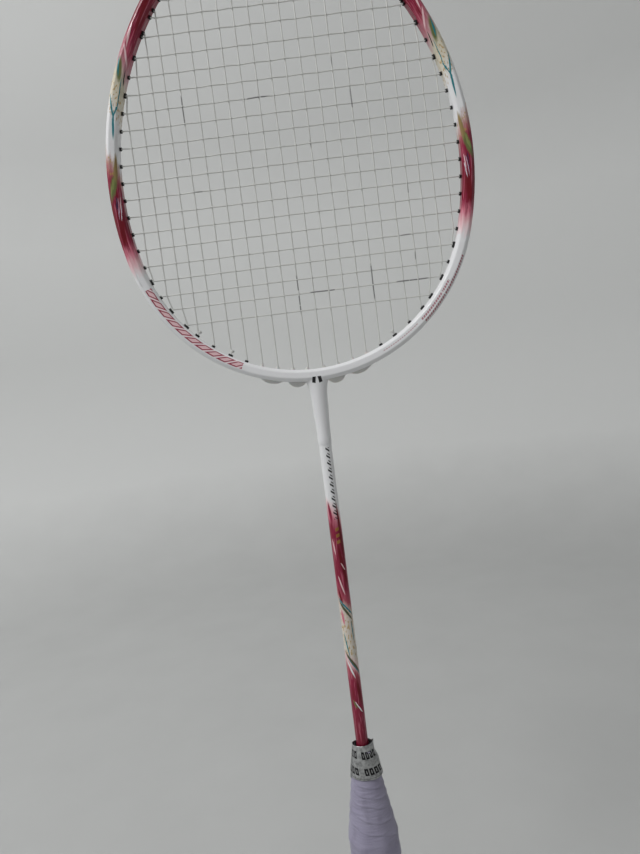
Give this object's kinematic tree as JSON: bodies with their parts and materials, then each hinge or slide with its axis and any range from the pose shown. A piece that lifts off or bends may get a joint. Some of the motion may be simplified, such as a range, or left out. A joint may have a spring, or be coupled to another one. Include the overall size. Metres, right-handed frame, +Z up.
{
  "type": "badminton racket",
  "caption": "Strung badminton racket: oval hollow hoop with woven strings, thin straight shaft and a tapered, wrapped octagonal handle.",
  "frame": {"origin": "centre of the butt cap's flat end face, the lowest point of the upright racket", "axes": "+Z up along the shaft towards the head, X across the head in the plane of the strings, +Y square to the strings, away from the face shown in front view"},
  "size_m": [0.1974, 0.0296, 0.674],
  "materials": {
    "frame_paint": "glossy lacquer over carbon fibre, white with crimson stretches",
    "shaft_paint": "glossy crimson lacquer over carbon fibre",
    "joint_nylon": "moulded, unpainted",
    "core_wood": "bare light wood",
    "cone_plastic": "moulded, fine grain",
    "base_grip_foam": "matt foam strip",
    "inner_tape": "thin black tape",
    "overgrip_film": "satin, faintly tacky lavender strip",
    "silver_tape": "satin silver tape",
    "cap_plastic": "moulded, fine grain",
    "staple_steel": "drawn wire",
    "badge_foil": "printed foil",
    "string_nylon": "coated multifilament",
    "black_nylon": "moulded nylon",
    "white_nylon": "moulded nylon, slightly milky"
  },
  "bodies": {
    "root": {"head_frame": "frame_paint", "t_joint": "joint_nylon", "shaft": "shaft_paint", "handle_core": "core_wood", "cone_cap": "cone_plastic", "base_grip": "base_grip_foam", "base_grip_tape": "inner_tape", "overgrip": "overgrip_film", "finishing_tape": "silver_tape", "butt_cap": "cap_plastic", "butt_staples": "staple_steel", "butt_badge": "badge_foil", "main_string": "string_nylon", "cross_string": "string_nylon", "tie_off_knots": "string_nylon", "side_grommets": "black_nylon", "top_grommets": "black_nylon", "lower_grommets": "black_nylon", "shared_grommets": "black_nylon", "long_grommets": "black_nylon", "throat_grommets_inner": "white_nylon", "throat_grommets_outer": "white_nylon"}
  },
  "joints": []
}
